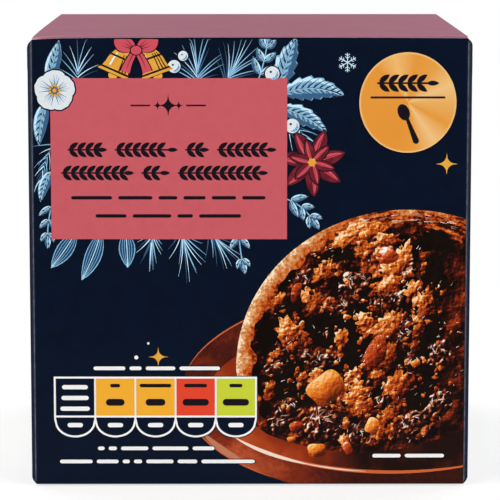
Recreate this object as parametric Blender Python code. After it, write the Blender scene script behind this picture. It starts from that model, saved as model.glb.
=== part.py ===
"""Shut folding carton for one small Christmas pudding.

It is one glued blank of printed board: a sleeve of four walls, closed at the top and at the base by a lid.
Each lid hinges on the back wall, lies over the side walls' folded ends, and tucks in behind the front wall.
The carton is shut and can't be seen into, so it is one solid with the outer form of the folded board.

Units are metres. +Z is up, the front wall faces -Y, and the origin is the middle of the base.
"""

import math

import bmesh
import bpy
import numpy as np

# Driving dimensions
WIDTH = 0.080  # across the front, at the upright folds
DEPTH = 0.080  # front to back, at the upright folds
HEIGHT = 0.0825  # base to the middle of the top lid, its highest point
BOARD = 0.00045  # thickness of the board
CORNER_FOLD = 0.0009  # outer radius of the upright folds
END_FOLD = 0.0012  # outer radius where a side wall folds over into its end flap
HINGE_FOLD = 0.0009  # outer radius where a lid hinges on the back wall
TUCK_FOLD = 0.0008  # outer radius where a lid turns down behind the front wall
SLOT_WIDTH = 0.0002  # between the front wall and the tucked flap
SLOT_DEPTH = 0.0009
EDGE_DROP = 0.0003  # the front wall's cut edge lies this far below the lid's surface
WALL_CROWN = 0.00025  # how far the middle of each wall bows out
LID_CROWN = 0.00025  # how far the middle of the top lid bows up
CORNER_DIP = 0.0004  # how far the top lid and front edge sink towards the left corner
DIP_REACH = 0.003  # over about this distance
DIP_FADE = 8  # power of the height share with which the dip fades down the walls
SEAM_WIDTH = 0.0003  # groove beside the side wall's cut edge, at the glued back corner
SEAM_DEPTH = 0.0003
SIDE_CUT = 0.00005  # how far out a lid's square-cut side edge runs as it drops to the end flap

# How finely the faces are divided
WALL_STEPS = 12
FOLD_STEPS = 4
CAP_RINGS = 4

BOARD_COLOUR = (0.0045, 0.0085, 0.0200, 1.0)  # dark navy ink, linear
BOARD_ROUGHNESS = 0.42

HALF_WIDTH = WIDTH / 2
HALF_DEPTH = DEPTH / 2
LID_LEVEL = HEIGHT - LID_CROWN
MIDDLE = np.array([0.0, LID_LEVEL / 2])
FLAP_TOP = LID_LEVEL - BOARD
FLAP_BASE = BOARD


def straight(start, end, steps):
    """Points from start towards end, in equal steps, without the end point."""
    share = np.arange(steps)[:, None] / steps
    return np.asarray(start) * (1 - share) + np.asarray(end) * share


def fold(centre, radius, first_angle, last_angle):
    """Points along a round fold, from first_angle towards last_angle in degrees, without the last point."""
    share = np.arange(FOLD_STEPS) / FOLD_STEPS
    angle = np.radians(first_angle + (last_angle - first_angle) * share)
    return np.asarray(centre) + radius * np.stack([np.cos(angle), np.sin(angle)], axis=1)


def lid_outline():
    """The upper half of the carton's outline from front to back, as (y, z): up the front wall, over its cut
    edge, down into the slot and up round the tucked fold, then along the lid and round its hinge."""
    front, back = -HALF_DEPTH, HALF_DEPTH
    middle = MIDDLE[1]
    edge = LID_LEVEL - EDGE_DROP
    slot_floor = edge - SLOT_DEPTH
    wall_inside = front + BOARD
    tuck = wall_inside + SLOT_WIDTH
    lid_front = tuck + TUCK_FOLD
    lid_back = back - HINGE_FOLD
    return np.concatenate(
        [
            straight((front, middle), (front, edge), WALL_STEPS // 2),
            [(front, edge), (wall_inside, edge), (wall_inside, slot_floor), (tuck, slot_floor)],
            fold((lid_front, LID_LEVEL - TUCK_FOLD), TUCK_FOLD, 180, 90),
            straight((lid_front, LID_LEVEL), (lid_back, LID_LEVEL), WALL_STEPS),
            fold((lid_back, LID_LEVEL - HINGE_FOLD), HINGE_FOLD, 90, 0),
            straight((back, LID_LEVEL - HINGE_FOLD), (back, middle), WALL_STEPS // 2),
        ]
    )


def full_outline():
    """The closed outline of the carton between its side walls: the upper half, and its mirror image below."""
    upper = lid_outline()
    lower = upper[::-1].copy()
    lower[:, 1] = LID_LEVEL - lower[:, 1]
    back_middle = np.array([[HALF_DEPTH, MIDDLE[1]]])
    return np.concatenate([upper, back_middle, lower[:-1]])


def end_outline(outline):
    """The outline beyond the lids' side edges, where the end flaps show and there is no slot."""
    ends = outline.copy()
    in_slot = (ends[:, 0] > -HALF_DEPTH) & (ends[:, 0] < -HALF_DEPTH + BOARD + 2 * SLOT_WIDTH)
    upper = ends[:, 1] > MIDDLE[1]
    ends[in_slot & upper, 1] = FLAP_TOP
    ends[in_slot & ~upper, 1] = FLAP_BASE
    ends[:, 1] = np.clip(ends[:, 1], FLAP_BASE, FLAP_TOP)
    return ends


def bulge(a, b):
    """A smooth bow that is 1 in the middle of a panel and 0 at its edges; a and b run from -1 to 1 across it."""
    return np.clip(1 - a**2, 0, 1) * np.clip(1 - b**2, 0, 1)


def crowned(points, x):
    """The ring at x with its walls bowed out, its top lid bowed up, and the front left corner sunk a little."""
    y, z = points[:, 0].copy(), points[:, 1].copy()
    across = x / HALF_WIDTH
    bow = WALL_CROWN * bulge(across, (z - MIDDLE[1]) / MIDDLE[1])
    on_wall = np.abs(y) > HALF_DEPTH - BOARD / 2
    moved_y = y + np.where(on_wall, np.sign(y) * bow, 0)
    top = z > MIDDLE[1]
    lid = top & (np.abs(y) < HALF_DEPTH - BOARD / 2)
    near_top = np.clip((z - MIDDLE[1]) / MIDDLE[1], 0, 1) ** DIP_FADE
    towards_corner = math.exp(-(x + HALF_WIDTH) / DIP_REACH)
    towards_front = np.exp(-(y + HALF_DEPTH) / (4 * DIP_REACH))
    moved_z = z + np.where(lid, LID_CROWN * bulge(across, y / HALF_DEPTH), 0)
    return np.stack([moved_y, moved_z - CORNER_DIP * near_top * towards_corner * towards_front], axis=1)


def drawn_in(points, share, glued_corner):
    """The ring with its front, back, top and base drawn in, by this share of their fold radii.
    At the glued corner the side wall's cut edge is square, so the back isn't drawn in there."""
    y, z = points[:, 0], points[:, 1] - MIDDLE[1]
    inset_y = np.where(glued_corner & (y > 0), 0.0, CORNER_FOLD * share)
    y = y * (1 - inset_y / HALF_DEPTH)
    z = z * (1 - END_FOLD * share / (FLAP_TOP - MIDDLE[1]))
    return np.stack([y, z + MIDDLE[1]], axis=1)


def ring(x, points):
    return np.column_stack([np.full(len(points), x), points])


def seam(x):
    """Depth of the V groove beside the glued corner's cut edge, at x."""
    centre = -HALF_WIDTH + BOARD + SEAM_WIDTH / 2
    return SEAM_DEPTH * max(0.0, 1 - abs(x - centre) / (SEAM_WIDTH / 2))


def end_rings(outline, side):
    """Rings from a lid's side edge out round the end fold to the side wall (side is 1 or -1), then in over
    the bowed side wall towards its middle."""
    plain = end_outline(outline)
    glued = side < 0
    rings = []
    fold_start = HALF_WIDTH - CORNER_FOLD
    stops = [(fold_start + SIDE_CUT, 0.0)]
    for step in range(1, 2 * FOLD_STEPS + 1):
        turn = math.pi / 2 * step / (2 * FOLD_STEPS)
        stops.append((fold_start + CORNER_FOLD * math.sin(turn), 1 - math.cos(turn)))
    for reach, share in stops:
        x = side * reach
        points = drawn_in(crowned(plain, x), share, glued)
        back = points[:, 0] > HALF_DEPTH - SEAM_DEPTH
        points[back, 0] -= seam(x)
        rings.append(ring(x, points))
    rim = rings[-1][:, 1:]
    for step in range(1, CAP_RINGS):
        shrink = 1 - step / CAP_RINGS
        x = side * (HALF_WIDTH + WALL_CROWN * (1 - shrink**2))
        rings.append(ring(x, MIDDLE + (rim - MIDDLE) * shrink))
    return rings


def carton_rings():
    """All the rings from the left side wall to the right one, as (x, y, z) points."""
    outline = full_outline()
    lid_edge = HALF_WIDTH - CORNER_FOLD
    between = [ring(x, crowned(outline, x)) for x in np.linspace(-lid_edge, lid_edge, WALL_STEPS + 1)]
    return end_rings(outline, -1)[::-1] + between + end_rings(outline, 1)


def skin(rings, left_tip, right_tip):
    """A closed mesh over the rings, with a fan of triangles to a middle point at each end."""
    mesh = bmesh.new()
    rows = [[mesh.verts.new(point) for point in points] for points in rings]
    count = len(rows[0])
    for row, following in zip(rows, rows[1:]):
        for i in range(count):
            j = (i + 1) % count
            mesh.faces.new([row[i], following[i], following[j], row[j]])
    for row, tip in ((rows[0], left_tip), (rows[-1], right_tip)):
        centre = mesh.verts.new(tip)
        for i in range(count):
            mesh.faces.new([row[i], row[(i + 1) % count], centre])
    bmesh.ops.recalc_face_normals(mesh, faces=mesh.faces)
    return mesh


def board_material():
    material = bpy.data.materials.new("printed_board")
    material.use_nodes = True
    shader = material.node_tree.nodes["Principled BSDF"]
    shader.inputs["Base Color"].default_value = BOARD_COLOUR
    shader.inputs["Roughness"].default_value = BOARD_ROUGHNESS
    shader.inputs["Metallic"].default_value = 0.0
    return material


def make_carton():
    tip = HALF_WIDTH + WALL_CROWN
    solid = skin(carton_rings(), (-tip, *MIDDLE), (tip, *MIDDLE))
    mesh = bpy.data.meshes.new("carton")
    solid.to_mesh(mesh)
    solid.free()
    mesh.materials.append(board_material())
    mesh.shade_smooth()
    mesh.set_sharp_from_angle(angle=math.radians(30))
    carton = bpy.data.objects.new("carton", mesh)
    bpy.context.scene.collection.objects.link(carton)
    return carton


def main():
    for old in list(bpy.data.objects):
        bpy.data.objects.remove(old)
    make_carton()


main()
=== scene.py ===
"""Looks of a shut folding carton for one small Christmas pudding.

The carton is the folded sheet of board that the real one is: a glued sleeve with its end flaps, and two lids.
Its print is ink: each colour is a thin film of its own on the board, made from grids that follow the bowed walls.
The words of a real pack are left out, and plain bars or small ornaments stand in their places.

Sizes are in metres, but places and sizes on a printed panel are in millimetres, u to the right and v up.
"""

import math

import bmesh
import bpy
import numpy as np
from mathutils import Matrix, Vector


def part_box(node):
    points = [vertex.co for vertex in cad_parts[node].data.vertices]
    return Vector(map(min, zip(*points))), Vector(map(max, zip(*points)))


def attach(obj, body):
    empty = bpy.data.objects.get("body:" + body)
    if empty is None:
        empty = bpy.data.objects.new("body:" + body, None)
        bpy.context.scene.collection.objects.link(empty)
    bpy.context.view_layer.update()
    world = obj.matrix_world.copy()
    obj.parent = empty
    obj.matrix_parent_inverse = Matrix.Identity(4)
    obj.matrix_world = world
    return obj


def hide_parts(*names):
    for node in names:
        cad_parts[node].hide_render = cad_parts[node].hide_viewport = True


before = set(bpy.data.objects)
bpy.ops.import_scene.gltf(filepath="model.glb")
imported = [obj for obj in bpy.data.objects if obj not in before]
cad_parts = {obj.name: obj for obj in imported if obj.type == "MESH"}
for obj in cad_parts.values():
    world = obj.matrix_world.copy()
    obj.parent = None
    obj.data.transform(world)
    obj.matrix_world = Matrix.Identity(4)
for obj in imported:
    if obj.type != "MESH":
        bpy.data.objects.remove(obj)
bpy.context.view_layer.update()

MM = 0.001

# The carton's sizes, those of its folded board
CROWN = 0.25 * MM  # how far the middle of each wall and of the top lid bows out
BOARD = 0.45 * MM
CORNER_FOLD = 0.9 * MM  # outer radii of the folds
END_FOLD = 1.2 * MM
HINGE_FOLD = 0.9 * MM
TUCK_FOLD = 0.8 * MM
GLUE_FOLD = 0.6 * MM
SLOT_WIDTH = 0.2 * MM  # between the front wall and the tucked flap
EDGE_DROP = 0.3 * MM  # the front wall's cut edge lies this far below the lid
RIM_BOW = 0.15 * MM  # and in its middle this much higher
GLUE_GAP = 0.03 * MM  # between the left wall and the glued flap behind it
CORNER_DIP = 0.4 * MM  # how far the front left corner of the top sinks
DIP_REACH = 3 * MM
DIP_FADE = 8
TUCK_LENGTH = 6 * MM
FLAP_LENGTH = 5 * MM
GLUE_LENGTH = 6 * MM

LOW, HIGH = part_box("carton")
HALF_WIDTH = (HIGH.x - LOW.x) / 2 - CROWN
HALF_DEPTH = (HIGH.y - LOW.y) / 2 - CROWN
LID_LEVEL = HIGH.z - CROWN
MIDDLE = LID_LEVEL / 2
FLAP_LEVEL = LID_LEVEL - BOARD

# The printed layers are drawn thicker than real ink, which is a few thousandths of a millimetre, so that they
# stay apart from each other.
LAYER = 0.01 * MM
SHAPE_STEP = 0.0002 * MM  # between shapes of one layer that overlap
INK_DEPTH = 0.3 * MM  # how far a film's hidden underside reaches down into the board
LEAST_AREA = 1e-5  # of a face of a film, in square millimetres

DICE = np.random.default_rng(25)


# ---------------------------------------------------------------------------------------------------- meshes


def grid_faces(rows, columns, start=0):
    """Quads between the points of a grid of that many cells, whose first point has the number start."""
    corner = start + np.arange(rows)[:, None] * (columns + 1) + np.arange(columns)
    quads = np.stack([corner, corner + 1, corner + columns + 2, corner + columns + 1], axis=-1)
    return quads.reshape(-1, 4)


def make_piece(name, points, faces, materials):
    """A mesh object at the origin, which rides on the carton."""
    mesh = bpy.data.meshes.new(name)
    mesh.from_pydata(points, [], faces)
    for material in materials:
        mesh.materials.append(material)
    mesh.shade_smooth()
    piece = bpy.data.objects.new(name, mesh)
    bpy.context.scene.collection.objects.link(piece)
    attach(piece, "root")
    return piece


def thicken(piece, thickness, inside=0, edge=0):
    """Gives a sheet its thickness on the inner side, with a crisp border. inside and edge are the steps on to
    the materials there."""
    mesh = piece.data
    edge_of_corner = np.empty(len(mesh.loops), dtype=np.int32)
    mesh.loops.foreach_get("edge_index", edge_of_corner)
    border = np.bincount(edge_of_corner, minlength=len(mesh.edges)) == 1
    mesh.attributes.new("sharp_edge", "BOOLEAN", "EDGE").data.foreach_set("value", border)
    shell = piece.modifiers.new("thickness", "SOLIDIFY")
    shell.thickness = thickness
    shell.offset = -1
    shell.material_offset = inside
    shell.material_offset_rim = edge
    return shell


# ----------------------------------------------------------------------------------------------- folded board


def bulge(a, b):
    """A smooth bow: (1 - a²)(1 - b²), which is 1 in the middle of a panel and 0 at its edges."""
    return np.clip(1 - a**2, 0, 1) * np.clip(1 - b**2, 0, 1)


def settle(points):
    """Lets the top's front left corner sink: z less the dip, which fades down the walls with the height's 8th
    power and away from the corner with exp(-distance / reach)."""
    near_top = np.clip((points[..., 2] - MIDDLE) / MIDDLE, 0, 1) ** DIP_FADE
    from_left = np.maximum(points[..., 0] + HALF_WIDTH, 0) / DIP_REACH
    from_front = np.maximum(points[..., 1] + HALF_DEPTH, 0) / (4 * DIP_REACH)
    settled = points.copy()
    settled[..., 2] -= CORNER_DIP * near_top * np.exp(-from_left - from_front)
    return settled


def run(start, end, steps, guard=0.15 * MM):
    """Points from start to end in equal steps, without the end, with a guard point close to each end so that
    the folds beside it keep their round shading to themselves."""
    start, end = np.asarray(start, float), np.asarray(end, float)
    share = np.linspace(0, 1, steps + 1)
    near = guard / np.linalg.norm(end - start)
    share = np.sort(np.concatenate([share, [near, 1 - near]]))[:-1, None]
    return start * (1 - share) + end * share


def bend(centre, radius, first, last, steps=10):
    """Points round a fold from the angle first to last in degrees, without the last one."""
    angle = np.radians(first + (last - first) * np.arange(steps) / steps)
    return np.asarray(centre) + radius * np.stack([np.cos(angle), np.sin(angle)], axis=1)


def sleeve_path():
    """The sleeve's outline seen from above, as (x, y): from the left wall's cut edge at the back, round the
    front and the right wall to the back wall, and round into the glued flap. With it come the heights that its
    rim reaches at each point, and the numbers of the points that lie on the left and right walls."""
    w, d, r = HALF_WIDTH, HALF_DEPTH, CORNER_FOLD
    side_rim, front_rim, back_rim = FLAP_LEVEL - END_FOLD, LID_LEVEL - EDGE_DROP, LID_LEVEL - HINGE_FOLD
    inner = -w + BOARD + GLUE_GAP
    parts = [
        (run((-w, d), (-w, -d + r), 40), side_rim, side_rim),
        (bend((-w + r, -d + r), r, 180, 270), side_rim, front_rim),
        (run((-w + r, -d), (w - r, -d), 48), front_rim, front_rim),
        (bend((w - r, -d + r), r, 270, 360), front_rim, side_rim),
        (run((w, -d + r), (w, d - r), 40), side_rim, side_rim),
        (bend((w - r, d - r), r, 0, 90), side_rim, back_rim),
        (run((w - r, d), (inner + GLUE_FOLD, d), 40), back_rim, back_rim),
        (bend((inner + GLUE_FOLD, d - GLUE_FOLD), GLUE_FOLD, 90, 180), back_rim, back_rim),
        (run((inner, d - GLUE_FOLD), (inner, d - GLUE_LENGTH), 4), back_rim, back_rim),
    ]
    path = np.concatenate([points for points, _, _ in parts])
    rim = np.concatenate([np.linspace(first, last, len(points) + 1)[:-1] for points, first, last in parts])
    ends = np.cumsum([len(points) for points, _, _ in parts])
    left = np.arange(0, ends[0] + 1)
    right = np.arange(ends[3], ends[4] + 1)
    return path, rim, left, right


def bowed(points):
    """Moves the four walls' points out by the bow of their wall."""
    x, y, z = points[..., 0], points[..., 1], points[..., 2]
    height = (z - MIDDLE) / MIDDLE
    out = points.copy()
    side = np.abs(x) > HALF_WIDTH - BOARD / 2
    out[..., 0] += np.where(side, np.sign(x) * CROWN * bulge(y / HALF_DEPTH, height), 0)
    end = np.abs(y) > HALF_DEPTH - BOARD / 2
    out[..., 1] += np.where(end, np.sign(y) * CROWN * bulge(x / HALF_WIDTH, height), 0)
    return out


def end_flap(rim_points, side, top):
    """A side wall's end folded in: a quarter round of the fold's radius above (or below) the rim, then flat
    inwards. side and top are 1 or -1."""
    turn = np.radians(np.linspace(0, 90, 11))
    across = np.concatenate([END_FOLD * (1 - np.cos(turn)), END_FOLD + FLAP_LENGTH * np.array([0.1, 0.5, 1])])
    along = np.concatenate([END_FOLD * np.sin(turn), np.full(3, END_FOLD)])
    points = np.repeat(rim_points[None], len(across), axis=0)
    points[..., 0] -= side * across[:, None]
    points[..., 2] += top * along[:, None]
    return points


def make_sleeve(materials):
    """The glued sleeve: the outline seen from above, drawn up from the base rim to the top rim, with the side
    walls' end flaps joined to it."""
    path, rim, left, right = sleeve_path()
    share = np.concatenate([[0, 0.01], np.linspace(0.02, 0.98, 47), [0.99, 1]])[:, None]
    base_rim = LID_LEVEL - rim
    z = base_rim * (1 - share) + rim * share
    walls = np.stack([*np.broadcast_arrays(path[:, 0], path[:, 1], z)], axis=-1)
    rise = RIM_BOW * (1 - (path[:, 0] / HALF_WIDTH) ** 2) * (path[:, 1] < -HALF_DEPTH + BOARD)
    walls[..., 2] += rise * share
    walls = bowed(walls)
    grids = [walls]
    for side, columns in ((-1, left), (1, right)):
        grids.append(end_flap(walls[-1, columns], side, 1))
        grids.append(end_flap(walls[0, columns], side, -1)[::-1])
    points, faces, count = [], [], 0
    for grid in grids:
        rows, columns = grid.shape[0] - 1, grid.shape[1] - 1
        faces.append(grid_faces(rows, columns, count))
        points.append(settle(grid).reshape(-1, 3))
        count += grid.shape[0] * grid.shape[1]
    sleeve = make_piece("sleeve", np.concatenate(points), np.concatenate(faces), materials)
    sheet = bmesh.new()
    sheet.from_mesh(sleeve.data)
    bmesh.ops.remove_doubles(sheet, verts=sheet.verts, dist=0.001 * MM)
    sheet.to_mesh(sleeve.data)
    sheet.free()
    thicken(sleeve, BOARD, inside=1, edge=2)
    return sleeve


def lid_path():
    """A lid's outline from back to front, as (y, z): up round its hinge, along the lid, and round down into the
    tucked flap."""
    back, front = HALF_DEPTH, -HALF_DEPTH + BOARD + SLOT_WIDTH
    hinge = bend((back - HINGE_FOLD, LID_LEVEL - HINGE_FOLD), HINGE_FOLD, 0, 90)
    flat = run((back - HINGE_FOLD, LID_LEVEL), (front + TUCK_FOLD, LID_LEVEL), 44)
    tuck = bend((front + TUCK_FOLD, LID_LEVEL - TUCK_FOLD), TUCK_FOLD, 90, 180)
    flap = run((front, LID_LEVEL - TUCK_FOLD), (front, LID_LEVEL - TUCK_LENGTH), 6)
    return np.concatenate([hinge, flat, tuck, flap])


def make_lid(name, materials, top):
    """A lid: its outline carried across between the end folds, bowed up in the middle. The base lid is its
    mirror image, and flat."""
    path = lid_path()
    reach = HALF_WIDTH - CORNER_FOLD
    x = run((reach, 0), (-reach, 0), 44)[:, 0]
    x = np.append(x, -reach)
    y, z = (np.repeat(column[:, None], len(x), axis=1) for column in path.T)
    points = np.stack([np.broadcast_to(x, y.shape), y, z], axis=-1)
    points[..., 2] += top * CROWN * bulge(points[..., 0] / HALF_WIDTH, y / HALF_DEPTH) * (z > FLAP_LEVEL)
    faces = grid_faces(y.shape[0] - 1, y.shape[1] - 1)
    if top:
        points = settle(points)
    else:
        points[..., 2] = LID_LEVEL - points[..., 2]
        faces = faces[:, ::-1]
    lid = make_piece(name, points.reshape(-1, 3), faces, materials)
    thicken(lid, BOARD, inside=1, edge=2)
    return lid


# ------------------------------------------------------------------------------------------------ print shapes

WALL_U = 2 * HALF_WIDTH / MM  # a wall's width and height, in millimetres
WALL_V = LID_LEVEL / MM
CREASE = 0.95  # print ends this far inside a wall's sides, where the folds start
SIDE_U = WALL_U - CREASE
BASE_V, RIM_V = 0.45, WALL_V - 0.45  # and between these heights on the front
FOLD_V = (BOARD + END_FOLD) / MM + 0.05  # side walls fold in this far from their ends
HINGE_V = HINGE_FOLD / MM + 0.05  # and the back wall's lids begin here

# Each panel: its middle, its directions to the right, up and out, its half sizes, and its print's lowest and
# highest places.
PANELS = {
    "front": ((0, -HALF_DEPTH, MIDDLE), (1, 0, 0), (0, 0, 1), (0, -1, 0), (HALF_WIDTH, MIDDLE), (BASE_V, RIM_V)),
    "right": ((HALF_WIDTH, 0, MIDDLE), (0, 1, 0), (0, 0, 1), (1, 0, 0), (HALF_DEPTH, MIDDLE), (FOLD_V, WALL_V - FOLD_V)),
    "back": ((0, HALF_DEPTH, MIDDLE), (-1, 0, 0), (0, 0, 1), (0, 1, 0), (HALF_WIDTH, MIDDLE), (HINGE_V, WALL_V - HINGE_V)),
    "left": ((-HALF_WIDTH, 0, MIDDLE), (0, -1, 0), (0, 0, 1), (-1, 0, 0), (HALF_DEPTH, MIDDLE), (FOLD_V, WALL_V - FOLD_V)),
}


def on_panel(panel, u, v, height):
    """Points on a panel, this high above its board: the panel's middle + u along it + v up it
    + (height + bow) outwards."""
    centre, right, up, out, (half_u, half_v), _ = PANELS[panel]
    across, upward = u * MM - half_u, v * MM - half_v
    outward = height + CROWN * bulge(across / half_u, upward / half_v)
    steps = (across, upward, outward)
    points = sum(step[..., None] * np.array(way, float) for step, way in zip(steps, (right, up, out)))
    return settle(points + np.array(centre, float))


class Ink:
    """One ink: its shapes as grids, which are joined in one mesh."""

    def __init__(self, name, material):
        self.name, self.material = name, material
        self.points, self.faces, self.local = [], [], []
        self.count = 0

    def lay(self, panel, shape, layer, tone=None):
        """Prints a shape: grids of u and v, and of the two coordinates that its pattern follows. What lies off
        the panel's print area is pressed flat against its border. Grids that run clockwise are turned over, and
        faces that are left without any area or face inwards are dropped."""
        u, v, a, b = shape
        u = np.clip(u, CREASE, SIDE_U)
        v = np.clip(v, *PANELS[panel][5])
        faces = grid_faces(u.shape[0] - 1, u.shape[1] - 1, self.count)
        first_u, first_v = u[1:, 1:] - u[:-1, :-1], v[1:, 1:] - v[:-1, :-1]
        second_u, second_v = u[1:, :-1] - u[:-1, 1:], v[1:, :-1] - v[:-1, 1:]
        area = (first_u * second_v - first_v * second_u).ravel() / 2
        if area.sum() < 0:
            faces, area = faces[:, ::-1], -area
        height = layer * LAYER + len(self.points) % 40 * SHAPE_STEP
        if tone is None:
            tone = DICE.random()
        self.points.append(on_panel(panel, u, v, height).reshape(-1, 3))
        self.faces.append(faces[area > LEAST_AREA])
        self.local.append(np.stack([*np.broadcast_arrays(a, b, tone)], axis=-1).reshape(-1, 3))
        self.count += u.size

    def make(self):
        used, faces = np.unique(np.concatenate(self.faces), return_inverse=True)
        points = np.concatenate(self.points)[used]
        piece = make_piece(self.name, points, faces.reshape(-1, 4), [self.material])
        local = piece.data.attributes.new("local", "FLOAT_VECTOR", "POINT")
        local.data.foreach_set("vector", np.concatenate(self.local)[used].ravel())
        thicken(piece, INK_DEPTH)
        return piece


def arc_path(u, v, length, heading, turn=0.0, steps=8):
    """A path from (u, v) whose heading turns evenly by turn, in degrees: the running sum of its short steps."""
    angle = np.radians(heading + turn * (np.arange(steps) + 0.5) / steps)
    step = length / steps
    path_u = u + np.concatenate([[0], np.cumsum(np.cos(angle))]) * step
    path_v = v + np.concatenate([[0], np.cumsum(np.sin(angle))]) * step
    return path_u, path_v


def ribbon(path, half_width, across=1, sides=(-1, 1)):
    """A strip along a path: the path + t · half-width · its normal, with t from the one side to the other. Its
    pattern's coordinates are the share of the path and t."""
    path_u, path_v = path
    du, dv = np.gradient(path_u), np.gradient(path_v)
    scale = np.broadcast_to(half_width, path_u.shape) / np.maximum(np.hypot(du, dv), 1e-9)
    t = np.linspace(*sides, across + 1)
    u = path_u[:, None] - (dv * scale)[:, None] * t
    v = path_v[:, None] + (du * scale)[:, None] * t
    along = np.linspace(0, 1, len(path_u))[:, None]
    return u, v, np.broadcast_to(along, u.shape), np.broadcast_to(t, u.shape)


def leaf_width(width, steps, belly=0.8, point=0.8, teeth=0, least=0.015):
    """Half-widths of a leaf: width/2 · sin(π · share^belly)^point, widest nearer its foot for a small belly. With
    teeth, each one grows by a third towards the tip and then falls back."""
    share = np.linspace(0, 1, steps + 1)
    half = width / 2 * np.sin(np.pi * share**belly).clip(0) ** point
    return np.maximum(half * (1 - 0.26 * (1 - share * teeth % 1) * (teeth > 0)), least)


def blade(u, v, length, width, heading, turn=0.0, belly=0.8, point=0.8, steps=8, across=2, sides=(-1, 1), teeth=0):
    """A leaf or petal along an arc."""
    steps = max(steps, 5 * teeth)
    path = arc_path(u, v, length, heading, turn, steps)
    return ribbon(path, leaf_width(width, steps, belly, point, teeth), across, sides)


def needle(u, v, length, width, heading, turn=0.0, steps=5):
    """A stroke that tapers to its tip: half-width = width/2 · (1 - share²)."""
    share = np.linspace(0, 1, steps + 1)
    path = arc_path(u, v, length, heading, turn, steps)
    return ribbon(path, np.maximum(width / 2 * (1 - share**2), 0.02))


def stroke(path, width):
    """A line of even width."""
    return ribbon(path, width / 2)


def bar(u, v, length, height):
    """A bar with round ends, level, from (u, v) at the middle of its left end: half-height
    = sqrt(r² - beyond²), where beyond is how far a point lies past the round end's centre."""
    r = height / 2
    steps = np.linspace(-1, 1, 15)
    along = length / 2 * (1 + np.sign(steps) * (1 - (1 - np.abs(steps)) ** 2))
    beyond = np.maximum(np.abs(along - length / 2) - (length / 2 - r), 0)
    half = np.maximum(np.sqrt(np.maximum(r**2 - beyond**2, 0)), 0.01)
    return ribbon((u + along, np.full_like(along, v)), half)


def round_grid(cells):
    """A disc of radius 1, pressed from a square: x = a·sqrt(1 - b²/2), y = b·sqrt(1 - a²/2)."""
    a, b = np.meshgrid(np.linspace(-1, 1, cells + 1), np.linspace(-1, 1, cells + 1), indexing="ij")
    return a * np.sqrt(1 - b**2 / 2), b * np.sqrt(1 - a**2 / 2)


def disc(u, v, radius, stretch=1.0, turn=0.0, cells=8, outline=None):
    """A round shape: round_grid times the radius, times outline(angle) if given, made wider by stretch and
    turned. Its pattern's coordinates are those of the round grid, kept level."""
    x, y = round_grid(cells)
    angle = np.arctan2(y, x)
    reach = radius * (1 if outline is None else outline(angle))
    cos, sin = math.cos(math.radians(turn)), math.sin(math.radians(turn))
    long, wide = x * reach * stretch, y * reach
    level_x, level_y = cos * x - sin * y, sin * x + cos * y
    return u + cos * long - sin * wide, v + sin * long + cos * wide, level_x, level_y


def uneven(amount, lobes=(3, 5, 8)):
    """An outline that strays from round by a sum of a few waves of random phase."""
    phase = DICE.random(len(lobes)) * 2 * np.pi
    size = amount * (0.6 + 0.4 * DICE.random(len(lobes)))
    return lambda angle: 1 + sum(s * np.sin(n * angle + p) for n, s, p in zip(lobes, size, phase))


def between(us, low, high, rows=8):
    """A field between two curves over the same us: v = low + (high - low) · t."""
    t = np.linspace(0, 1, rows + 1)[None, :]
    v = low[:, None] * (1 - t) + high[:, None] * t
    u = np.repeat(us[:, None], rows + 1, axis=1)
    along = np.linspace(0, 1, len(us))[:, None]
    return u, v, np.broadcast_to(along, u.shape), np.broadcast_to(t, u.shape)


def rectangle(u, v, width, height, rows=1, columns=1):
    us = np.linspace(u, u + width, columns + 1)
    return between(us, np.full_like(us, v), np.full_like(us, v + height), rows)


# --------------------------------------------------------------------------------------------------- materials


def to_linear(hex_colour):
    """An sRGB hex colour as linear numbers: x / 12.92 when dark, else ((x + 0.055) / 1.055) ^ 2.4."""
    values = [int(hex_colour[i : i + 2], 16) / 255 for i in (0, 2, 4)]
    return (*[x / 12.92 if x <= 0.04045 else ((x + 0.055) / 1.055) ** 2.4 for x in values], 1.0)


def per_mm(size):
    """The scale of a pattern whose features are this many millimetres across."""
    return 1000 / size


def add(tree, kind, inputs=(), stops=(), **settings):
    """Adds a node: settings are its properties, inputs the values or links of its sockets, and stops the places
    and colours of a ramp."""
    new = tree.nodes.new("ShaderNode" + kind)
    for name, value in settings.items():
        setattr(new, name, value)
    for name, value in dict(inputs).items():
        socket = new.inputs[name]
        if isinstance(value, bpy.types.NodeSocket):
            tree.links.new(value, socket)
        else:
            socket.default_value = value
    if stops:
        marks = new.color_ramp.elements
        marks.remove(marks[-1])
        for number, (place, colour) in enumerate(stops):
            mark = marks[0] if number == 0 else marks.new(place)
            mark.position = place
            mark.color = to_linear(colour)
    return new


def printed(name, colour, paint=None, roughness=0.38, specular=0.16):
    """Offset ink under a satin varnish on carton board. The eye gets an even, slightly soft gloss with a very
    fine unevenness from the board's fibres, here 0.5 mm across and about 3 thousandths high.
    paint(tree, place, local) gives the colour as a socket where it isn't even."""
    material = bpy.data.materials.new(name)
    material.use_nodes = True
    tree = material.node_tree
    shader = tree.nodes["Principled BSDF"]
    shader.inputs["Base Color"].default_value = to_linear(colour)
    shader.inputs["Specular IOR Level"].default_value = specular
    place = add(tree, "TexCoord").outputs["Object"]
    fibres = add(tree, "TexNoise", {"Vector": place, "Scale": per_mm(0.5), "Detail": 3.0})
    gloss = add(tree, "MapRange", {0: fibres.outputs[0], 3: roughness - 0.06, 4: roughness + 0.06})
    relief = add(tree, "Bump", {"Height": fibres.outputs[0], "Distance": 0.003 * MM})
    tree.links.new(gloss.outputs[0], shader.inputs["Roughness"])
    tree.links.new(relief.outputs[0], shader.inputs["Normal"])
    if paint:
        local = add(tree, "Attribute", attribute_name="local").outputs["Vector"]
        tree.links.new(paint(tree, place, local), shader.inputs["Base Color"])
    return material


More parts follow.
